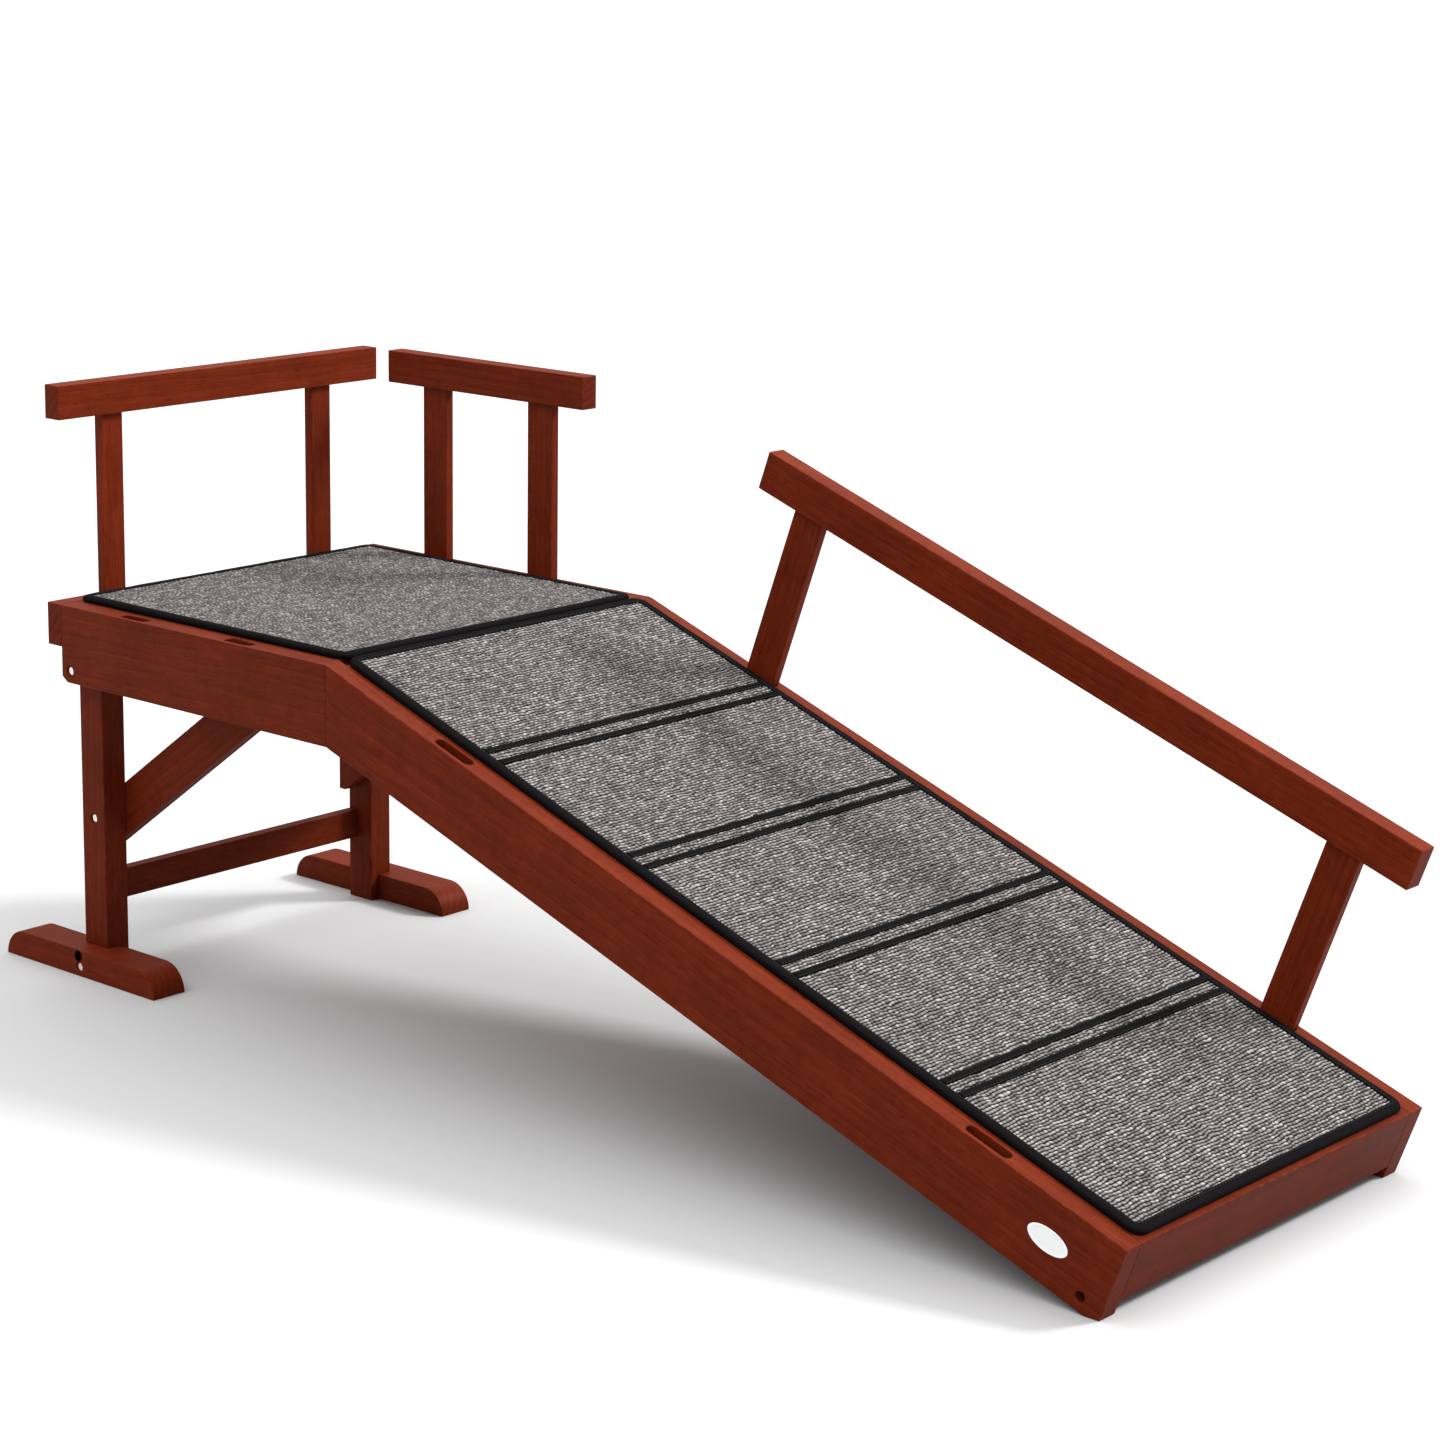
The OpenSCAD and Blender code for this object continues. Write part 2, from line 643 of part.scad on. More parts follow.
brace_bolts();
brace_top_bolts();
foot_bolts();
bolt_nuts();
joint_plate_screws();
end_board_screws();
platform_deck_screws();
ramp_deck_screws();
ledger_screws();
stretcher_dowels();
ramp_end_dowels();
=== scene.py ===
import json
import math

import bpy
import numpy as np
from mathutils import Matrix, Vector


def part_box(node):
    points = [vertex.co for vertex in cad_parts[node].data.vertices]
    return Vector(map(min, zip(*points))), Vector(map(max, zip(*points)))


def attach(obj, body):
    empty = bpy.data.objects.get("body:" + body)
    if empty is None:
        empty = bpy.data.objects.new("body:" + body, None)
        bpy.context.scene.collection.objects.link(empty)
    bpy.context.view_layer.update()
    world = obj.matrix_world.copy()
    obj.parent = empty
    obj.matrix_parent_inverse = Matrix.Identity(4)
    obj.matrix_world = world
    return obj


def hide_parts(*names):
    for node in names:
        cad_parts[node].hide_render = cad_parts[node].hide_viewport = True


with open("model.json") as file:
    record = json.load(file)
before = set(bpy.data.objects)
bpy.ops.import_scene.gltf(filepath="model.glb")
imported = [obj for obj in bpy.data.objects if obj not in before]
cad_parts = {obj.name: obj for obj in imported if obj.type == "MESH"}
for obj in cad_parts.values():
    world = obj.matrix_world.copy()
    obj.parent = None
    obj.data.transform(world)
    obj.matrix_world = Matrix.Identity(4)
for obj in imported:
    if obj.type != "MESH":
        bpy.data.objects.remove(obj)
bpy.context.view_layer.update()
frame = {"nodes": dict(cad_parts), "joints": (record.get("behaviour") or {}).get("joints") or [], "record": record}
nodes = frame["nodes"]
slot_of = {part["node"]: part["material_slot"] for part in frame["record"]["subparts"]}

MM = 0.001

# ---------------------------------------------------------------- where things are

ramp_normal = Vector(next(j["axis"] for j in frame["joints"] if j["name"] == "ramp_mat_lift")).normalized()
across = Vector((0, 1, 0))
downhill = across.cross(ramp_normal)
bend = Vector((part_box("platform_rail_left")[1].x, 0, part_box("platform_rail_left")[1].z))
deck_top = Vector((0, 0, bend.z))


def axes_matrix(x_axis, y_axis, z_axis, origin):
    """The local frame with these axes and origin, as a matrix."""
    m = Matrix((x_axis, y_axis, z_axis)).transposed().to_4x4()
    m.translation = origin
    return m


PLATFORM = axes_matrix(Vector((1, 0, 0)), across, Vector((0, 0, 1)), deck_top)
RAMP = axes_matrix(downhill, across, ramp_normal, bend)


def local_points(node, place):
    """The node's vertices in a local frame."""
    inverse = place.inverted()
    return np.array([inverse @ v.co for v in nodes[node].data.vertices])


def local_box(node, place):
    """The node's lowest and highest corners in a local frame."""
    points = local_points(node, place)
    return points.min(0), points.max(0)


# ---------------------------------------------------------------- shader helpers

class Tree:
    """A material's node tree, with short calls for the nodes that the materials below share."""

    def __init__(self, name):
        self.material = bpy.data.materials.new(name)
        self.material.use_nodes = True
        self.nodes = self.material.node_tree.nodes
        self.links = self.material.node_tree.links
        self.shader = self.nodes["Principled BSDF"]

    def add(self, kind, inputs=None, **settings):
        made = self.nodes.new(kind)
        for key, value in settings.items():
            setattr(made, key, value)
        for key, value in (inputs or {}).items():
            self.feed(made.inputs[key], value)
        return made

    def feed(self, socket, value):
        if isinstance(value, bpy.types.NodeSocket):
            self.links.new(value, socket)
        else:
            socket.default_value = value

    def set(self, **values):
        for key, value in values.items():
            self.feed(self.shader.inputs[key.replace("_", " ")], value)

    def math(self, operation, a, b=0.0):
        return self.add("ShaderNodeMath", {0: a, 1: b}, operation=operation).outputs[0]

    def noise(self, vector, scale, detail=2.0, roughness=0.5, distortion=0.0):
        inputs = {"Vector": vector, "Scale": scale, "Detail": detail, "Roughness": roughness,
                  "Distortion": distortion}
        return self.add("ShaderNodeTexNoise", inputs).outputs["Fac"]

    def remap(self, value, low, high, to_low=0.0, to_high=1.0):
        inputs = {"Value": value, "From Min": low, "From Max": high, "To Min": to_low, "To Max": to_high}
        return self.add("ShaderNodeMapRange", inputs, clamp=True).outputs[0]

    def mapping(self, vector, location=(0, 0, 0), rotation=(0, 0, 0), scale=(1, 1, 1)):
        inputs = {"Vector": vector, "Location": location, "Rotation": rotation, "Scale": scale}
        return self.add("ShaderNodeMapping", inputs).outputs[0]

    def ramp(self, value, *stops):
        made = self.add("ShaderNodeValToRGB", {"Fac": value})
        elements = made.color_ramp.elements
        while len(elements) < len(stops):
            elements.new(0.5)
        for element, (position, colour) in zip(elements, stops):
            element.position = position
            element.color = (*colour, 1.0)
        return made.outputs["Color"]

    def mix(self, factor, a, b, blend="MIX"):
        """Colour b over colour a. The mix node's colour sockets are its inputs 6 and 7 and its output 2."""
        made = self.add("ShaderNodeMix", data_type="RGBA", blend_type=blend)
        self.feed(made.inputs[0], factor)
        self.feed(made.inputs[6], a if isinstance(a, bpy.types.NodeSocket) else (*a, 1.0))
        self.feed(made.inputs[7], b if isinstance(b, bpy.types.NodeSocket) else (*b, 1.0))
        return made.outputs[2]

    def bump(self, height, strength, distance):
        inputs = {"Height": height, "Strength": strength, "Distance": distance}
        return self.add("ShaderNodeBump", inputs).outputs[0]

    def coordinates(self, kind="Object"):
        return self.add("ShaderNodeTexCoord").outputs[kind]

    def attribute(self, name):
        return self.add("ShaderNodeAttribute", attribute_name=name).outputs["Fac"]


# ---------------------------------------------------------------- wood

STAIN_DARK = (0.058, 0.0070, 0.0022)
STAIN_MID = (0.109, 0.0138, 0.0041)
STAIN_LIGHT = (0.168, 0.0236, 0.0076)
# The rounded edges' lighter tone: partly stain rubbed thin, partly a painted highlight along the edges.
EDGE_WEAR_AND_HIGHLIGHT = (0.205, 0.0360, 0.0150)
END_GRAIN_LIGHT = (0.092, 0.0120, 0.0044)
STAIN_GLINT = (1.0, 0.46, 0.32, 1.0)

# How fine each mark is, per metre along the grain and then across it
SWAY_SCALE = (1.6, 9.0, 9.0)
RING_STRETCH = (0.05, 1, 1)
RING_SCALE = 42.0
STREAK_SCALE = (16, 640, 640)
BLOTCH_SCALE = (12, 34, 34)
CURL_SCALE = (95, 45, 45)
PORE_SCALE = (75, 1500, 1500)
WEAR_AND_HIGHLIGHT_SCALE = 130.0

# How far the rings wander across the board, in metres, and how much each mark adds to the tone
RING_SWAY_Y, RING_SWAY_Z = 0.030, 0.022
RING_SHARE, STREAK_SHARE, BLOTCH_SHARE, CURL_SHARE = 0.10, 0.52, 0.44, 0.24

PORE_STRENGTH = 0.7
END_GRAIN_STRENGTH = 0.62
WEAR_AND_HIGHLIGHT_STRENGTH = 0.35
VARNISH_ROUGHNESS = (0.42, 0.56)
WOOD_RELIEF = 0.25 * MM


def cut_from_log(seed):
    """Where a board is cut from the log, so that no two boards share their figure."""
    return (0.37 * seed, 0.061 * (seed % 5) + 0.03, 0.083 * (seed % 7) + 0.05)


def stained_wood(name, grain, seed, tone_and_shade, worn_and_lit=False):
    """Red-brown stained softwood under satin varnish, its grain along the given direction."""
    t = Tree(name)
    stains = (STAIN_DARK, STAIN_MID, STAIN_LIGHT)
    # The tone factor scales all three stains, so it carries painted shade and light as well as the board's own
    # tone.
    dark, mid, light = (tuple(tone_and_shade * c for c in stain) for stain in stains)
    across_grain = grain.cross(Vector((0, 1, 0)) if abs(grain.y) < 0.9 else Vector((0, 0, 1))).normalized()
    turn = axes_matrix(grain, across_grain, grain.cross(across_grain), Vector()).inverted().to_euler()
    board = t.mapping(t.coordinates(), rotation=turn)
    placed = t.mapping(board, location=cut_from_log(seed))
    drift = t.mapping(placed, scale=SWAY_SCALE)
    wobble = t.noise(drift, 1.0, 3.0)
    sway = t.add("ShaderNodeCombineXYZ", {"Y": t.math("MULTIPLY", wobble, RING_SWAY_Y),
                                          "Z": t.math("MULTIPLY", wobble, RING_SWAY_Z)}).outputs[0]
    swayed = t.add("ShaderNodeVectorMath", {0: placed, 1: sway}, operation="ADD").outputs[0]
    stretched = t.mapping(swayed, scale=RING_STRETCH)
    rings = t.add("ShaderNodeTexWave", {"Vector": stretched, "Scale": RING_SCALE, "Distortion": 1.4,
                                        "Detail": 2.0, "Detail Scale": 3.0},
                  wave_type="RINGS", rings_direction="X", wave_profile="SAW").outputs["Fac"]
    streaks = t.noise(t.mapping(swayed, scale=STREAK_SCALE), 1.0, 4.0, 0.66)
    blotches = t.noise(t.mapping(placed, scale=BLOTCH_SCALE), 1.0, 4.0, 0.6)
    curl = t.noise(t.mapping(placed, scale=CURL_SCALE), 1.0, 3.0, 0.6, 0.8)
    pores = t.noise(t.mapping(placed, scale=PORE_SCALE), 1.0, 2.0, 0.6)

    grain_mark = t.math("ADD", t.math("MULTIPLY", rings, RING_SHARE),
                        t.math("MULTIPLY", streaks, STREAK_SHARE))
    cloud_mark = t.math("ADD", t.math("MULTIPLY", blotches, BLOTCH_SHARE),
                        t.math("MULTIPLY", curl, CURL_SHARE))
    tone = t.math("ADD", grain_mark, cloud_mark)
    colour = t.ramp(t.remap(tone, 0.36, 0.94), (0.0, dark), (0.5, mid), (1.0, light))
    pore_mark = t.remap(pores, 0.32, 0.44, 0.45, 1.0)
    colour = t.mix(PORE_STRENGTH, colour, t.mix(1.0, colour, pore_mark, "MULTIPLY"))

    facing = t.add("ShaderNodeVectorMath", {0: t.coordinates("Normal"), 1: grain}, operation="DOT_PRODUCT")
    end_grain = t.remap(t.math("ABSOLUTE", facing.outputs["Value"]), 0.8, 0.95)
    end_rings = t.mix(t.remap(rings, 0.2, 0.9), dark, END_GRAIN_LIGHT)
    colour = t.mix(t.math("MULTIPLY", end_grain, END_GRAIN_STRENGTH), colour, end_rings)
    # Lighter rounded edges: partly worn stain, partly painted highlight.
    if worn_and_lit:
        wear_and_highlight = t.remap(t.noise(placed, WEAR_AND_HIGHLIGHT_SCALE, 3.0), 0.45, 0.66, 0.0, WEAR_AND_HIGHLIGHT_STRENGTH)
        colour = t.mix(wear_and_highlight, colour, EDGE_WEAR_AND_HIGHLIGHT)

    roughness = t.remap(t.math("ADD", streaks, blotches), 0.6, 1.4, *VARNISH_ROUGHNESS)
    relief = t.bump(t.math("ADD", streaks, t.math("MULTIPLY", pores, 0.5)), 0.16, WOOD_RELIEF)
    t.set(Base_Color=colour, Roughness=roughness, Normal=relief, Specular_IOR_Level=0.05,
          Specular_Tint=STAIN_GLINT)
    return t.material


def plain_wood(name, seed):
    """Bare birch of the dowels."""
    t = Tree(name)
    base = t.mapping(t.coordinates(), location=(0.2 * seed, 0, 0), scale=(300, 30, 300))
    fibres = t.noise(base, 1.0, 3.0)
    t.set(Base_Color=t.ramp(fibres, (0.3, (0.36, 0.22, 0.11)), (0.7, (0.58, 0.40, 0.22))), Roughness=0.62,
          Normal=t.bump(fibres, 0.2, 0.2 * MM))
    return t.material


# ---------------------------------------------------------------- metal, plastic, textiles

WAVE_PERIOD = 0.314   # of a wave texture at scale 1, in metres
TWILL = ((45, 0.9 * MM), (-45, 0.6 * MM))   # each set of ribs: its angle in degrees and its period
# TAPE_HOLLOW_SHADE is painted shade for the weave's hollows.
TAPE_HOLLOW_SHADE = (0.0022, 0.0019, 0.0021)
TAPE_RIB = (0.0070, 0.0062, 0.0068)
TAPE_LINT = (0.013, 0.012, 0.013)
YARN_TONES = ((0.0, (0.120, 0.110, 0.107)), (0.4, (0.190, 0.175, 0.170)),
              (0.75, (0.245, 0.226, 0.219)), (1.0, (0.36, 0.34, 0.33)))


def zinc_steel():
    """Bright zinc plate on the bolts, screws and joint plates."""
    t = Tree("zinc_steel")
    spots = t.noise(t.coordinates(), 900.0, 3.0)
    cloud = t.noise(t.coordinates(), 90.0, 2.0)
    t.set(Base_Color=t.ramp(cloud, (0.3, (0.84, 0.84, 0.85)), (0.7, (0.95, 0.95, 0.95))), Metallic=1.0,
          Roughness=t.remap(spots, 0.3, 0.7, 0.16, 0.26), Normal=t.bump(spots, 0.03, 0.1 * MM))
    return t.material


def black_nylon():
    """The leg spacers' black nylon."""
    t = Tree("black_nylon")
    grain = t.noise(t.coordinates(), 1800.0, 2.0)
    t.set(Base_Color=(0.018, 0.018, 0.019, 1), Roughness=t.remap(grain, 0.3, 0.7, 0.42, 0.55),
          Normal=t.bump(grain, 0.1, 0.05 * MM))
    return t.material


def twill_tape(name, place):
    """Black polyester tape: fine diagonal ribs and a slight sheen."""
    t = Tree(name)
    turn = place.to_3x3().inverted().to_euler()
    flat = t.mapping(t.coordinates(), rotation=turn)
    heights = []
    for angle, period in TWILL:
        turned = t.mapping(flat, rotation=(0, 0, math.radians(angle)))
        wave = t.add("ShaderNodeTexWave", {"Vector": turned, "Scale": WAVE_PERIOD / period,
                                           "Distortion": 0.6, "Detail": 1.0, "Detail Scale": 2.0})
        heights.append(wave.outputs["Fac"])
    weave = t.math("ADD", heights[0], t.math("MULTIPLY", heights[1], 0.5))
    lint = t.noise(flat, 240.0, 4.0, 0.7)
    # The colour follows the weave's height, darker in its hollows: painted shade.
    colour = t.mix(t.remap(weave, 0.1, 1.3), TAPE_HOLLOW_SHADE, TAPE_RIB)
    colour = t.mix(t.remap(lint, 0.60, 0.82, 0.0, 0.3), colour, TAPE_LINT)
    t.set(Base_Color=colour, Roughness=0.7, Specular_IOR_Level=0.01, Normal=t.bump(weave, 0.35, 0.12 * MM))
    return t.material


def sewing_thread():
    """Black thread, a little glossier than the tape that it is sewn through."""
    t = Tree("sewing_thread")
    strands = t.noise(t.coordinates(), 3000.0, 1.0)
    t.set(Base_Color=t.ramp(strands, (0.3, (0.0045, 0.0045, 0.0050)), (0.7, (0.0140, 0.0135, 0.0145))),
          Roughness=0.5, Specular_IOR_Level=0.2, Normal=t.bump(strands, 0.3, 0.08 * MM))
    return t.material


def hook_strip():
    """Black hook tape, covered in small bristling hooks."""
    t = Tree("hook_strip")
    cells = t.add("ShaderNodeTexVoronoi", {"Vector": t.coordinates(), "Scale": 900.0}).outputs["Distance"]
    t.set(Base_Color=t.ramp(cells, (0.1, (0.030, 0.030, 0.032)), (0.6, (0.006, 0.006, 0.007))),
          Roughness=0.7, Normal=t.bump(cells, 0.8, 0.5 * MM))
    return t.material


def loop_pile(name, tone_and_shade):
    """Mixed grey yarn: each loop has its own tone, and the gaps between the ribs are darkened with painted shade.
    """
    t = Tree(name)
    yarn = t.attribute("yarn")
    depth = t.attribute("depth")
    fibre = t.noise(t.coordinates(), 2600.0, 3.0, 0.7)
    drift = t.noise(t.coordinates(), 14.0, 2.0, 0.5)
    tone = t.math("ADD", yarn, t.math("MULTIPLY", t.math("SUBTRACT", fibre, 0.5), 0.6))
    tone = t.math("ADD", tone, t.math("MULTIPLY", t.math("SUBTRACT", drift, 0.5), 0.12))
    colour = t.ramp(tone, *YARN_TONES)
    # Low points of the pile get darker colour: painted shade in the gaps between ribs and loops.
    painted_gap_shade = t.remap(depth, 0.22, 0.68, 0.03, 1.0)
    colour = t.mix(1.0, colour, t.math("MULTIPLY", painted_gap_shade, tone_and_shade), "MULTIPLY")
    t.set(Base_Color=colour, Roughness=0.93, Specular_IOR_Level=0.1, Normal=t.bump(fibre, 0.5, 0.3 * MM))
    return t.material


def woven_backing():
    """The mats' plain-woven jute backing."""
    t = Tree("woven_backing")
    waves = []
    for direction in ("X", "Y"):
        wave = t.add("ShaderNodeTexWave", {"Vector": t.coordinates(), "Scale": 150.0, "Distortion": 0.4},
                     bands_direction=direction)
        waves.append(wave.outputs["Fac"])
    weave = t.math("MULTIPLY", waves[0], waves[1])
    # The colour follows the weave's height, darker between the threads: painted shade.
    t.set(Base_Color=t.ramp(weave, (0.1, (0.10, 0.085, 0.065)), (0.8, (0.30, 0.26, 0.20))), Roughness=0.85,
          Normal=t.bump(weave, 0.5, 0.4 * MM))
    return t.material


def enamel(name, colour):
    """The badge's gloss enamel."""
    t = Tree(name)
    flow = t.noise(t.coordinates(), 160.0, 2.0)
    t.set(Base_Color=(*colour, 1), Roughness=t.remap(flow, 0.3, 0.7, 0.16, 0.24), Coat_Weight=0.4,
          Coat_Roughness=0.08, Normal=t.bump(flow, 0.03, 0.1 * MM))
    return t.material


# ---------------------------------------------------------------- the CAD nodes' finish

along_x = Vector((1, 0, 0))
along_z = Vector((0, 0, 1))
brace_rise = math.radians(36)
along_brace = Vector((math.cos(brace_rise), 0, math.sin(brace_rise)))
GRAIN = {
    along_x.freeze(): ["platform_rail", "platform_ledger", "platform_deck", "foot", "side_handrail_bar"],
    across.freeze(): ["platform_end_board", "platform_batten", "bend_batten", "ramp_end_board",
                      "ramp_batten", "leg_stretcher", "end_handrail_bar"],
    along_z.freeze(): ["leg_left", "leg_right", "end_handrail_post", "side_handrail_post"],
    along_brace.freeze(): ["brace_left", "brace_right"],
    downhill.freeze(): ["ramp_rail", "ramp_ledger", "ramp_deck", "ramp_handrail_bar"],
    ramp_normal.freeze(): ["ramp_handrail_post"],
}
METAL_SLOTS = ("steel", "spacer")
WELD_DISTANCE = 0.01 * MM
FLAT_ANGLE = math.radians(0.3)
SHARP_ANGLE = math.radians(28)
BOARD_EDGE = 1.0 * MM
BOLT_EDGE = 0.35 * MM

# How light each board is against the rest of the frame: partly its own take of the stain, partly painted shade and
# light for how the board is lit, as on the darker low end board and legs
TONE_AND_PAINTED_LIGHT = {"ramp_end_board": 0.76, "platform_rail": 0.97, "leg": 0.95, "foot": 1.08, "brace": 1.04,
             "end_handrail": 1.14, "side_handrail": 1.08, "ramp_handrail": 1.12}


def tone_and_shade_of(name):
    """How light the named board is, its stain tone and its painted shade and light together, where 1 is the
    frame's own tone.
    """
    return next((value for stem, value in TONE_AND_PAINTED_LIGHT.items() if name.startswith(stem)), 1.0)


def grain_of(name):
    """The direction of the named board's grain."""
    return next(axis for axis, stems in GRAIN.items() if any(name.startswith(stem) for stem in stems))


def soften_edges(piece, width, segments, edge_slot=None):
    """Rounds a CAD node's sharp edges with modifiers, and leaves its mesh as it is."""
    weld = piece.modifiers.new("weld", "WELD")
    weld.merge_threshold = WELD_DISTANCE
    flats = piece.modifiers.new("flats", "DECIMATE")
    flats.decimate_type = "DISSOLVE"
    flats.angle_limit = FLAT_ANGLE
    bevel = piece.modifiers.new("edges", "BEVEL")
    bevel.width = width
    bevel.segments = segments
    bevel.limit_method = "ANGLE"
    bevel.angle_limit = SHARP_ANGLE
    bevel.use_clamp_overlap = False
    if edge_slot is not None:
        bevel.material = edge_slot
    piece.modifiers.new("shading", "WEIGHTED_NORMAL").keep_sharp = False


def finish_cad_nodes():
    """Gives the CAD nodes that stay visible their materials, and the wood and bolts rounded edges."""
    steel, nylon, hooks = zinc_steel(), black_nylon(), hook_strip()
    for seed, name in enumerate(sorted(nodes)):
        piece, slot = nodes[name], slot_of[name]
        piece.data.materials.clear()
        if slot == "mahogany":
            grain = grain_of(name)
            tone_and_shade = tone_and_shade_of(name)
            piece.data.materials.append(stained_wood("wood_" + name, grain, seed, tone_and_shade))
            # The edge material lightens the rounded edges: partly worn stain, partly painted highlight.
            piece.data.materials.append(stained_wood("edge_" + name, grain, seed, tone_and_shade, worn_and_lit=True))
            soften_edges(piece, BOARD_EDGE, segments=3, edge_slot=1)
        elif slot == "dowel_wood":
            piece.data.materials.append(plain_wood("plain_" + name, seed))
        elif slot in METAL_SLOTS:
            piece.data.materials.append(steel if slot == "steel" else nylon)
            if "bolts" in name or "nuts" in name:
                soften_edges(piece, BOLT_EDGE, segments=2)
        elif slot == "hook_tape":
            piece.data.materials.append(hooks)


# ---------------------------------------------------------------- mesh helpers

def new_piece(name, points, faces, place, materials, body, smooth=True):
    """A mesh piece from points in a local frame, riding on a body."""
    mesh = bpy.data.meshes.new(name)
    turned = np.asarray(points, float) @ np.array(place.to_3x3()).T + np.array(place.translation)
    mesh.from_pydata(turned.tolist(), [], [list(face) for face in faces])
    mesh.update()
    for material in materials:
        mesh.materials.append(material)
    if smooth:
        mesh.shade_smooth()
    piece = bpy.data.objects.new(name, mesh)
    bpy.context.scene.collection.objects.link(piece)
    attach(piece, body)
    return piece


NOISE_CELLS = 256     # the grid repeats after this many cells
CORNER_STEPS = 12


def value_noise(x, y, cell, seed):
    """Smooth noise from 0 to 1 with features of about one cell, from a seeded grid."""
    grid = np.random.default_rng(seed).random((NOISE_CELLS + 1, NOISE_CELLS + 1))
    u, v = x / cell, y / cell
    i, j = np.floor(u).astype(int), np.floor(v).astype(int)
    fu, fv = u - i, v - j
    fu, fv = fu * fu * (3 - 2 * fu), fv * fv * (3 - 2 * fv)
    i, j = i % NOISE_CELLS, j % NOISE_CELLS
    low = grid[i, j] * (1 - fu) + grid[i + 1, j] * fu
    high = grid[i, j + 1] * (1 - fu) + grid[i + 1, j + 1] * fu
    return low * (1 - fv) + high * fv


def rounded_path(low, high, radius, step):
    """Points round a rectangle with rounded corners, counter-clockwise, each with its inward normal."""
    corners = [((high[0] - radius, low[1] + radius), -90), ((high[0] - radius, high[1] - radius), 0),
               ((low[0] + radius, high[1] - radius), 90), ((low[0] + radius, low[1] + radius), 180)]
    points, normals = [], []
    for k, ((cx, cy), start) in enumerate(corners):
        for part in range(CORNER_STEPS + 1):
            angle = math.radians(start + 90 * part / CORNER_STEPS)
            out = Vector((math.cos(angle), math.sin(angle)))
            points.append(Vector((cx, cy)) + radius * out)
            normals.append(-out)
        (nx, ny), after = corners[(k + 1) % 4]
        angle = math.radians(after)
        target = Vector((nx, ny)) + radius * Vector((math.cos(angle), math.sin(angle)))
        here, inward = points[-1], normals[-1]
        count = max(1, round((target - here).length / step))
        for part in range(1, count):
            points.append(here.lerp(target, part / count))
            normals.append(inward)
    return points, normals


# A stitch's rings: the share of its length, of its thickness, and how far it rises, in thicknesses
STITCH_RINGS = ((0.0, 0.45, -0.25), (0.18, 0.9, 0.0), (0.5, 1.0, 0.12), (0.82, 0.9, 0.0),
                (1.0, 0.45, -0.25))
STITCH_SIDES = 6


def stitches(name, starts, ends, thickness, place, body, material):
    """Rows of short sewn stitches: each a small rounded bar from a start to an end, in local points."""
    sides, points, faces = STITCH_SIDES, [], []
    for start, end in zip(starts, ends):
        run = end - start
        side = Vector((0, 0, 1)).cross(run).normalized()
        first = len(points)
        for part, size, lift in STITCH_RINGS:
            centre = start + run * part + Vector((0, 0, lift * thickness))
            for k in range(sides):
                turn = 2 * math.pi * k / sides
                spread = side * math.cos(turn) + Vector((0, 0, 1)) * math.sin(turn)
                points.append(centre + spread * size * thickness / 2)
        for ring in range(len(STITCH_RINGS) - 1):
            for k in range(sides):
                a, b = first + ring * sides + k, first + ring * sides + (k + 1) % sides
                faces.append((a, b, b + sides, a + sides))
        faces.append(tuple(first + k for k in reversed(range(sides))))
        faces.append(tuple(first + (len(STITCH_RINGS) - 1) * sides + k for k in range(sides)))
    return new_piece(name, points, faces, place, [material], body)


# ---------------------------------------------------------------- mats

MAT_CORNER = 12 * MM            # radius of the mat's corners
RIB_PITCH = 3.4 * MM
RIB_STEPS = 5                   # faces across a rib
LOOP_LENGTH = 4.6 * MM
LOOP_STEPS = 4                  # faces along a loop
RIB_WANDER = 0.6                # how far the ribs wander, in rib pitches
LOOP_WANDER = 0.9               # and the loops, in loop lengths
RIB_POWER, LOOP_POWER = 1.1, 0.6   # how round a rib and a loop are in section, where 0 is square
LOOP_VALLEY = 0.24              # how high a rib is between two loops, as a share of the relief
LOOP_LEAN = 0.30                # how much lower the flattest loops are
PILE_TOP = 5.4 * MM
PILE_RELIEF = 1.35 * MM         # from the tops of the loops to the gaps between the ribs
PILE_UNDER = 1 * MM             # how far the pile runs in under the binding
PILE_DIP = 1.1 * MM             # how far it is pressed down there, and under the sewn tapes
PILE_DIP_RUN = 2.6 * MM
TAPE_TUCK = 2.9 * MM            # half the strip of pile that a cross tape presses flat
RIB_TABLE, YARN_TABLE = 4096, 1024   # sizes of the random tables for the ribs and for their loops
BINDING_LAP = 1.3 * MM
BACKING_TOP = 3.2 * MM
BACKING_INSET = 3 * MM

STITCH = 2.7 * MM
STITCH_GAP = 1.1 * MM
STITCH_PITCH = STITCH + STITCH_GAP
THREAD = 0.5 * MM
EDGE_SEAM = 6.2 / 8             # where the binding's seam runs, as a share of its width
EDGE_SEAM_TOP = 5.55 * MM
TAPE_SEAM = 0.36                # where a cross tape's seams run, as a share of its width from its middle
TAPE_SEAM_TOP = 5.45 * MM
TAPE_END_INSET = 1 * MM         # how far the cross tapes end inside the pile's edge, and then their seams
TAPE_SEAM_END_INSET = 3 * MM


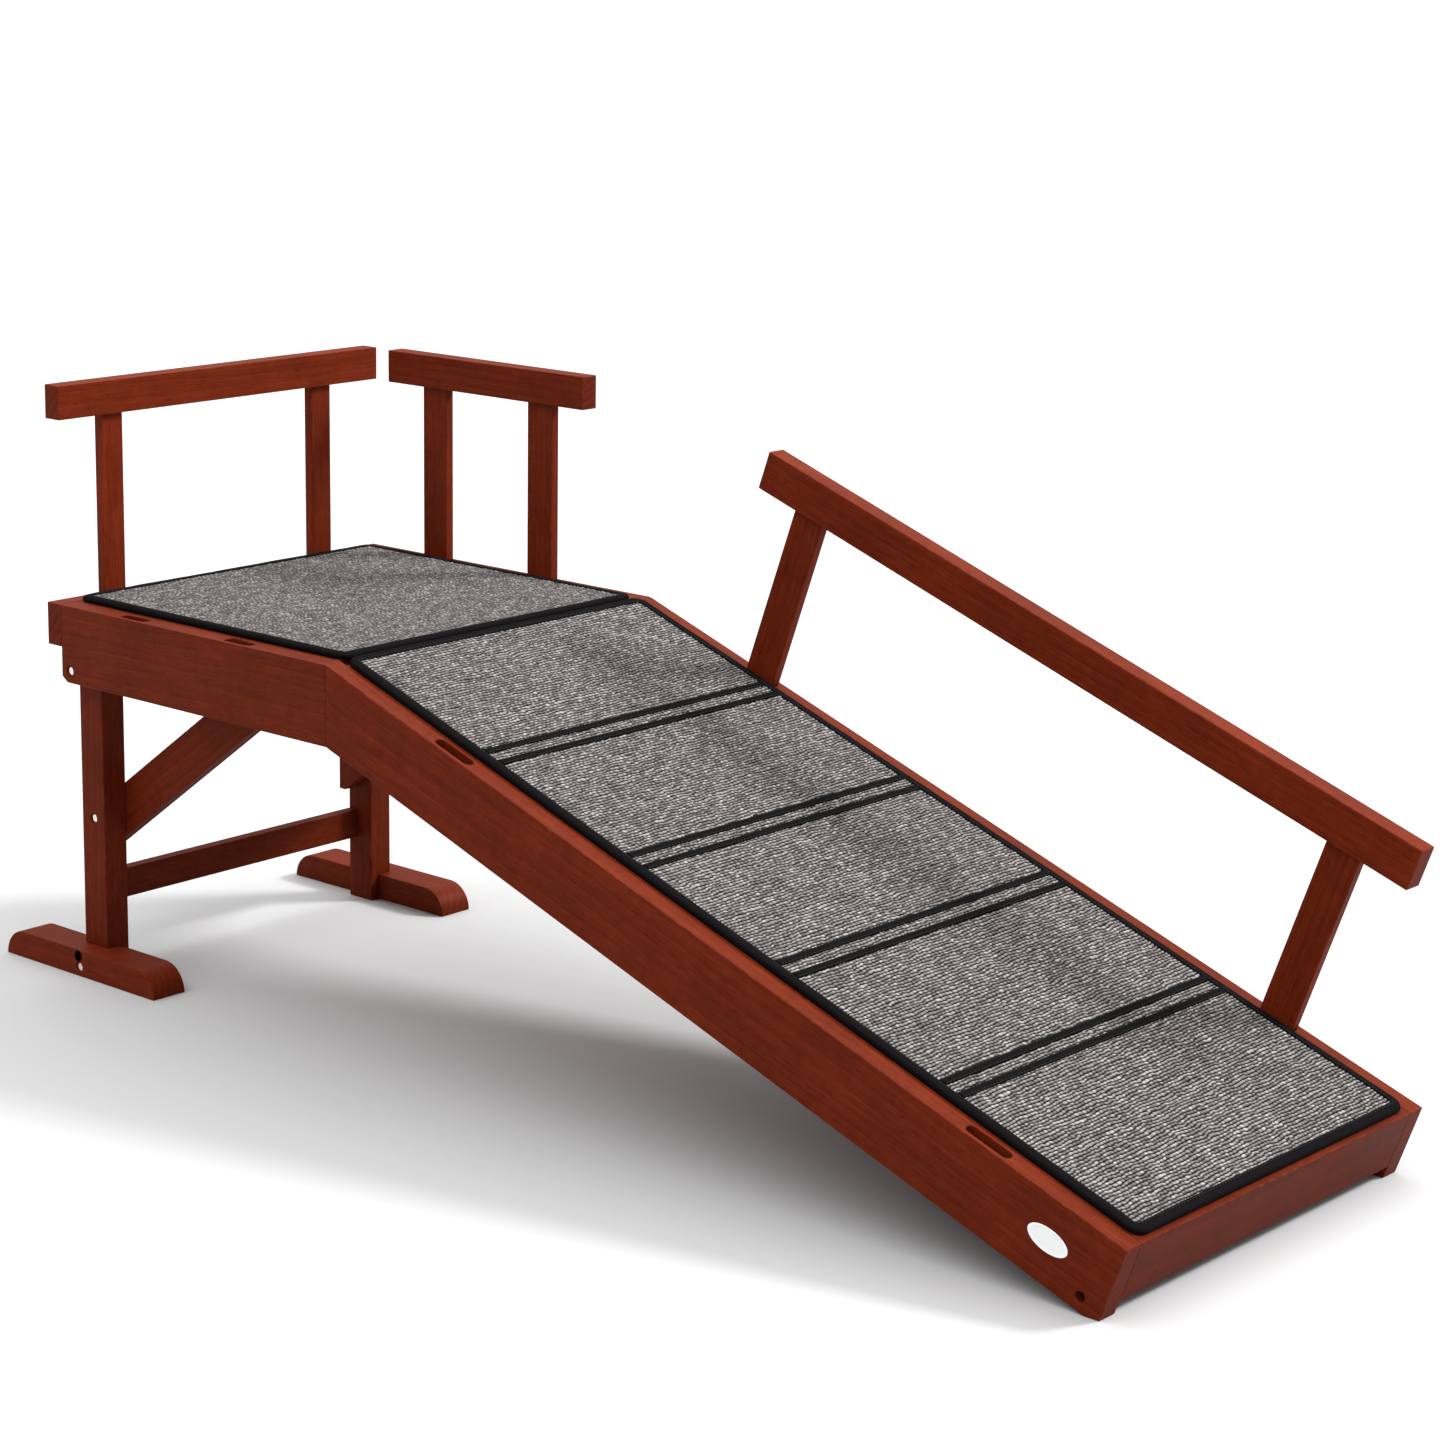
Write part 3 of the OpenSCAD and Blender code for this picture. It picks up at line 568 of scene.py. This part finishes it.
def pile(name, x_range, y_half, tapes, whole, place, body, material, seed):
    """A panel of ribbed loop pile, its ribs across the mat, pressed down under binding and tapes."""
    count_x = round((x_range[1] - x_range[0]) / (RIB_PITCH / RIB_STEPS))
    count_y = round(2 * y_half / (LOOP_LENGTH / LOOP_STEPS))
    x, y = np.meshgrid(np.linspace(*x_range, count_x + 1), np.linspace(-y_half, y_half, count_y + 1),
                       indexing="ij")
    drift = value_noise(x, y, 15 * MM, seed) + 0.8 * value_noise(x, y, 5 * MM, seed + 3)
    rib_phase = x / RIB_PITCH + RIB_WANDER * (drift - 0.9)
    rib = np.floor(rib_phase).astype(int)
    rng = np.random.default_rng(seed + 1)
    stagger = rng.random(RIB_TABLE)[rib % RIB_TABLE]
    loop_phase = y / LOOP_LENGTH + stagger + LOOP_WANDER * (value_noise(y, x, 13 * MM, seed + 2) - 0.5)
    loop = np.floor(loop_phase).astype(int)
    table = rng.random((YARN_TABLE, YARN_TABLE))
    yarn = table[rib % YARN_TABLE, loop % YARN_TABLE]
    lean = table[(rib + 311) % YARN_TABLE, (loop + 97) % YARN_TABLE]
    crown = np.sin(np.pi * (rib_phase - rib)) ** RIB_POWER
    knuckle = np.sin(np.pi * (loop_phase - loop)) ** LOOP_POWER
    rise = crown * (LOOP_VALLEY + (1 - LOOP_VALLEY) * knuckle) * (1 - LOOP_LEAN + LOOP_LEAN * lean)
    height = PILE_TOP - PILE_RELIEF * (1 - rise)
    inset = np.minimum(np.minimum(x - whole[0], whole[1] - x), y_half - np.abs(y))
    for tape in tapes:
        inset = np.minimum(inset, np.abs(x - tape) - TAPE_TUCK)
    height -= PILE_DIP * np.clip(1 - inset / PILE_DIP_RUN, 0, 1) ** 1.5

    points = np.stack([x, y, height], -1).reshape(-1, 3)
    index = np.arange(points.shape[0]).reshape(x.shape)
    faces = np.stack([index[:-1, :-1], index[1:, :-1], index[1:, 1:], index[:-1, 1:]], -1).reshape(-1, 4)
    piece = new_piece(name, points, faces.tolist(), place, [material], body)
    # The rise is also stored for the yarn material, which darkens the low points with painted shade.
    for key, values in (("yarn", yarn), ("depth", rise)):
        layer = piece.data.attributes.new(key, "FLOAT", "POINT")
        layer.data.foreach_set("value", values.astype(np.float32).ravel())
    return piece


def backing(name, low, high, radius, bottom, place, body, material):
    """The mat's woven backing: a thin closed slab under the pile."""
    outline, _ = rounded_path(low, high, radius, step=20 * MM)
    count = len(outline)
    points = [(p.x, p.y, z) for z in (bottom, BACKING_TOP) for p in outline]
    faces = [tuple(range(count - 1, -1, -1)), tuple(range(count, 2 * count))]
    faces += [(k, (k + 1) % count, count + (k + 1) % count, count + k) for k in range(count)]
    return new_piece(name, points, faces, place, [material], body, smooth=False)


# The folded tape's section in mm: the distance in from the mat's edge, and the height
BINDING_PROFILE = [(7.9, 0.4), (4.0, 0.05), (1.3, 0.05), (0.4, 0.5), (0.0, 1.5), (0.0, 2.8), (0.35, 4.0),
                   (1.2, 4.95), (2.6, 5.5), (4.4, 5.65), (5.6, 5.55), (6.2, 5.40), (6.8, 5.50), (7.5, 5.35),
                   (7.95, 4.9), (8.0, 3.6)]
BINDING_WAVE = 0.35             # how far the tape waves and puckers, in mm
BINDING_PUCKER = 0.18


def binding(name, low, high, radius, width, place, body, material, seed):
    """Folded tape round the mat's edge, swept along its rounded outline."""
    outline, normals = rounded_path(low, high, radius, step=5 * MM)
    scale = width / BINDING_PROFILE[-1][0]
    points = []
    for p, n in zip(outline, normals):
        wave = value_noise(np.array(p.x), np.array(p.y), 22 * MM, seed) - 0.5
        pucker = value_noise(np.array(p.x), np.array(p.y), 6 * MM, seed + 1) - 0.5
        for d, z in BINDING_PROFILE:
            top = max(0.0, min(1.0, (z - 3.0) / 2.0))
            q = p + n * (d * scale + (BINDING_WAVE * wave * MM if d > 5 else 0))
            points.append((q.x, q.y, z * MM + top * (BINDING_WAVE * wave + BINDING_PUCKER * pucker) * MM))
    size, count = len(BINDING_PROFILE), len(outline)
    faces = []
    for k in range(count):
        after = (k + 1) % count
        for s in range(size):
            t = (s + 1) % size
            faces.append((k * size + s, k * size + t, after * size + t, after * size + s))
    return new_piece(name, points, faces, place, [material], body)


def edge_stitches(name, low, high, radius, inset, height, place, body, material):
    """One row of stitches along the binding."""
    outline, normals = rounded_path(low, high, radius, step=1.0 * MM)
    line = [p + n * inset for p, n in zip(outline, normals)]
    line.append(line[0])
    lengths = np.cumsum([0.0] + [(b - a).length for a, b in zip(line, line[1:])])
    xs, ys = [p.x for p in line], [p.y for p in line]
    starts, ends = [], []
    for k in range(int(lengths[-1] // STITCH_PITCH)):
        for store, at in ((starts, k * STITCH_PITCH), (ends, k * STITCH_PITCH + STITCH)):
            store.append(Vector((np.interp(at, lengths, xs), np.interp(at, lengths, ys), height)))
    return stitches(name, starts, ends, THREAD, place, body, material)


# A cross tape's section: the share of its width from its middle, and the height in mm
CROSS_TAPE_PROFILE = [(-0.5, 3.9), (-0.5, 5.1), (-0.44, 5.4), (-0.34, 5.32), (-0.2, 5.58), (0.0, 5.65),
                      (0.2, 5.58), (0.34, 5.32), (0.44, 5.4), (0.5, 5.1), (0.5, 3.9)]
CROSS_TAPE_STEP = 4 * MM
CROSS_TAPE_WAVE = 0.25          # how far the tape waves along the ramp and in height, in mm
CROSS_TAPE_RISE = 0.2


def cross_tape(name, centre, width, y_half, place, body, material, seed):
    """A woven tape sewn across the mat, a little crowned and pulled down along its two seams."""
    count = round(2 * y_half / CROSS_TAPE_STEP)
    points = []
    for k in range(count + 1):
        y = -y_half + 2 * y_half * k / count
        wave = float(value_noise(np.array(y + 1.0), np.array(centre + 1.0), 17 * MM, seed)) - 0.5
        points += [(centre + width * s + CROSS_TAPE_WAVE * MM * wave, y,
                    (z + (CROSS_TAPE_RISE * wave if z > 4 else 0)) * MM)
                   for s, z in CROSS_TAPE_PROFILE]
    size = len(CROSS_TAPE_PROFILE)
    faces = [(k * size + s, (k + 1) * size + s, (k + 1) * size + (s + 1) % size, k * size + (s + 1) % size)
             for k in range(count) for s in range(size)]
    faces += [tuple(range(size)), tuple(count * size + s for s in reversed(range(size)))]
    return new_piece(name, points, faces, place, [material], body)


def tape_stitches(name, centres, width, y_half, place, body, material):
    """Two rows of stitches along each cross tape."""
    starts, ends = [], []
    for centre in centres:
        for side in (-TAPE_SEAM, TAPE_SEAM):
            for k in range(int(2 * y_half // STITCH_PITCH)):
                y = -y_half + k * STITCH_PITCH
                starts.append(Vector((centre + side * width, y, TAPE_SEAM_TOP)))
                ends.append(Vector((centre + side * width, y + STITCH, TAPE_SEAM_TOP)))
    return stitches(name, starts, ends, THREAD, place, body, material)


def mat(kind, place, yarn, seed, tapes=()):
    """One bound carpet mat, measured from its CAD solids."""
    body, bound = kind + "_mat", kind + "_binding"
    low, high = local_box(bound, place)
    inner_low, inner_high = local_box(kind + "_carpet", place)
    width = float(inner_low[0] - low[0]) + BINDING_LAP
    tuck = PILE_UNDER - BINDING_LAP
    y_half = float(inner_high[1]) + tuck
    whole = (float(inner_low[0]) - tuck, float(inner_high[0]) + tuck)
    tape = twill_tape("tape_" + kind, place)
    thread = sewing_thread()
    cuts = [whole[0], *(tapes[0::2] or [sum(whole) / 2]), whole[1]]
    panels = []
    for k, (start, end) in enumerate(zip(cuts, cuts[1:])):
        panels.append(pile(f"{kind}_pile_{k + 1}", (start, end), y_half, tapes, whole, place, body,
                           yarn, seed))
    base = backing(kind + "_backing", low[:2] + BACKING_INSET, high[:2] - BACKING_INSET,
                   MAT_CORNER - BACKING_INSET, float(inner_low[2]), place, body, woven_backing())
    edge = binding(kind + "_edge_tape", low, high, MAT_CORNER, width, place, body, tape, seed)
    seam = edge_stitches(kind + "_edge_stitches", low, high, MAT_CORNER, EDGE_SEAM * width, EDGE_SEAM_TOP,
                         place, body, thread)
    parts = panels + [edge, seam]
    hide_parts(kind + "_carpet")
    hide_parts(bound)
    if tapes:
        tape_width = stripe_width(place)
        for k, centre in enumerate(tapes):
            parts.append(cross_tape(f"ramp_cross_tape_{k + 1}", centre, tape_width, y_half - TAPE_END_INSET,
                                    place, body, tape, seed + k))
        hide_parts("ramp_stripes")
        parts.append(tape_stitches("ramp_tape_stitches", tapes, tape_width, y_half - TAPE_SEAM_END_INSET,
                                   place, body, thread))


def stripe_edges(place):
    """The cross tapes' edges along the ramp, from the bend down."""
    return sorted(set(np.round(local_points("ramp_stripes", place)[:, 0], 5)))


def stripe_width(place):
    """One cross tape's width."""
    edges = stripe_edges(place)
    return float(edges[1] - edges[0])


def stripe_centres(place):
    """The cross tapes' centre lines along the ramp, in the same order as their edges."""
    edges = stripe_edges(place)
    return [float(a + b) / 2 for a, b in zip(edges[0::2], edges[1::2])]


# ---------------------------------------------------------------- badge

# The plate's rings from its edge in: the share of its half width, and of its thickness
BADGE_RINGS = [(1.0, 0.0), (1.0, 0.7), (0.975, 1.0), (0.93, 1.0), (0.90, 0.8), (0.6, 0.86), (0.3, 0.9)]
BADGE_MIDDLE = 0.91
BADGE_SIDES = 72
RIM_RINGS = 4                   # the first rings of faces, which are the rim's
RIM_COLOUR = (0.90, 0.90, 0.89)
FIELD_COLOUR = (0.80, 0.82, 0.81)


def badge():
    """A plain oval plate with a raised rim and a pale field, and no lettering."""
    place = axes_matrix(downhill, ramp_normal, -across, Vector())
    low, high = local_box("badge", place)
    centre, half = (low + high) / 2, (high - low) / 2
    place.translation = place.to_3x3() @ Vector((centre[0], centre[1], low[2]))
    thick = float(high[2] - low[2])
    around, points, faces = BADGE_SIDES, [], []
    for size, lift in BADGE_RINGS:
        for k in range(around):
            turn = 2 * math.pi * k / around
            points.append((half[0] * size * math.cos(turn), half[1] * size * math.sin(turn), thick * lift))
    points.append((0, 0, thick * BADGE_MIDDLE))
    for ring in range(len(BADGE_RINGS) - 1):
        for k in range(around):
            a, b = ring * around + k, ring * around + (k + 1) % around
            faces.append((a, b, b + around, a + around))
    last = (len(BADGE_RINGS) - 1) * around
    faces += [(last + k, last + (k + 1) % around, len(points) - 1) for k in range(around)]
    faces.append(tuple(reversed(range(around))))
    piece = new_piece("badge_plate", points, faces, place,
                      [enamel("badge_rim", RIM_COLOUR), enamel("badge_field", FIELD_COLOUR)],
                      "base")
    for face in piece.data.polygons:
        face.material_index = 1 if RIM_RINGS * around <= face.index < len(faces) - 1 else 0
    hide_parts("badge")


# ---------------------------------------------------------------- stage, light, camera

FLOOR_HALF = 80.0
FLOOR_GREY = (0.47, 0.47, 0.47, 1)


def stage():
    """A wide pale floor, left out of the part itself."""
    corners = [(FLOOR_HALF * x, FLOOR_HALF * y, 0) for x, y in ((-1, -1), (1, -1), (1, 1), (-1, 1))]
    mesh = bpy.data.meshes.new("floor")
    mesh.from_pydata(corners, [], [(0, 1, 2, 3)])
    floor = bpy.data.objects.new("floor", mesh)
    bpy.context.scene.collection.objects.link(floor)
    t = Tree("pale_floor")
    t.set(Base_Color=FLOOR_GREY, Roughness=0.9, Specular_IOR_Level=0.0)
    mesh.materials.append(t.material)


HORIZON_LIGHT = 0.10
ZENITH_LIGHT = 2.5
CLIMB_FROM, CLIMB_TO = 0.05, 0.9   # the heights on a unit dome between which the light climbs
BACKDROP = 1.0
WHITE = (1, 1, 1, 1)
KEY_TOWARD = (0.48, 0.59, 0.65)
KEY_STRENGTH = 3.4
KEY_SPREAD = math.radians(13)


def studio_sky():
    """A soft light dome: bright overhead, dim at the horizon, and a plain white backdrop for the camera."""
    world = bpy.data.worlds.new("studio")
    bpy.context.scene.world = world
    world.use_nodes = True
    tree = world.node_tree
    add, link = tree.nodes.new, tree.links.new
    tree.nodes.clear()
    direction = add("ShaderNodeTexCoord")
    split = add("ShaderNodeSeparateXYZ")
    link(direction.outputs["Generated"], split.inputs[0])
    climb = add("ShaderNodeMapRange")
    climb.interpolation_type = "SMOOTHSTEP"
    climb.inputs["From Min"].default_value = CLIMB_FROM
    climb.inputs["From Max"].default_value = CLIMB_TO
    climb.inputs["To Min"].default_value = HORIZON_LIGHT
    climb.inputs["To Max"].default_value = ZENITH_LIGHT
    link(split.outputs["Z"], climb.inputs["Value"])
    dome, backdrop = add("ShaderNodeBackground"), add("ShaderNodeBackground")
    choose = add("ShaderNodeMixShader")
    link(climb.outputs[0], dome.inputs["Strength"])
    backdrop.inputs["Strength"].default_value = BACKDROP
    backdrop.inputs["Color"].default_value = WHITE
    dome.inputs["Color"].default_value = WHITE
    link(add("ShaderNodeLightPath").outputs["Is Camera Ray"], choose.inputs[0])
    link(dome.outputs[0], choose.inputs[1])
    link(backdrop.outputs[0], choose.inputs[2])
    link(choose.outputs[0], add("ShaderNodeOutputWorld").inputs[0])


def key_light():
    """A soft key from beyond the handrail side, so that the rail's shadow lies on the mats."""
    data = bpy.data.lights.new("key", "SUN")
    data.energy = KEY_STRENGTH
    data.angle = KEY_SPREAD
    light = bpy.data.objects.new("key", data)
    light.rotation_mode = "QUATERNION"
    light.rotation_quaternion = Vector(KEY_TOWARD).to_track_quat("Z", "Y")
    bpy.context.scene.collection.objects.link(light)


CAMERA_AT = Vector((1.916, -2.1265, 0.990))
CAMERA_YAW, CAMERA_PITCH, CAMERA_ROLL = 2.305, -0.212, 0.011
CAMERA_LENS, SENSOR = 86.76, 36.0
SHIFT = (0.0493, -0.0626)
CLIP_NEAR, CLIP_FAR = 0.05, 300


def camera():
    """The photograph's view, from a perspective fit of its edges."""
    data = bpy.data.cameras.new("camera")
    data.lens, data.sensor_width, data.sensor_fit = CAMERA_LENS, SENSOR, "HORIZONTAL"
    data.shift_x, data.shift_y = SHIFT
    data.clip_start, data.clip_end = CLIP_NEAR, CLIP_FAR
    forward = Vector((math.cos(CAMERA_PITCH) * math.cos(CAMERA_YAW),
                      math.cos(CAMERA_PITCH) * math.sin(CAMERA_YAW), math.sin(CAMERA_PITCH)))
    right = forward.cross(Vector((0, 0, 1))).normalized()
    up = right.cross(forward)
    rolled_right = math.cos(CAMERA_ROLL) * right + math.sin(CAMERA_ROLL) * up
    rolled_up = -math.sin(CAMERA_ROLL) * right + math.cos(CAMERA_ROLL) * up
    view = bpy.data.objects.new("camera", data)
    bpy.context.scene.collection.objects.link(view)
    view.matrix_world = axes_matrix(rolled_right, rolled_up, -forward, CAMERA_AT)
    bpy.context.scene.camera = view


# ---------------------------------------------------------------- build

camera()
finish_cad_nodes()
# The platform's yarn is the ramp's yarn at 0.70 tone: a darker copy that stands for painted shade on the platform
# mat.
mat("platform", PLATFORM, loop_pile("platform_yarn_shaded", tone_and_shade=0.70), seed=11)
mat("ramp", RAMP, loop_pile("ramp_yarn", tone_and_shade=1.0), seed=23, tapes=stripe_centres(RAMP))
badge()
stage()
studio_sky()
key_light()
bpy.context.scene.view_settings.view_transform = "Standard"
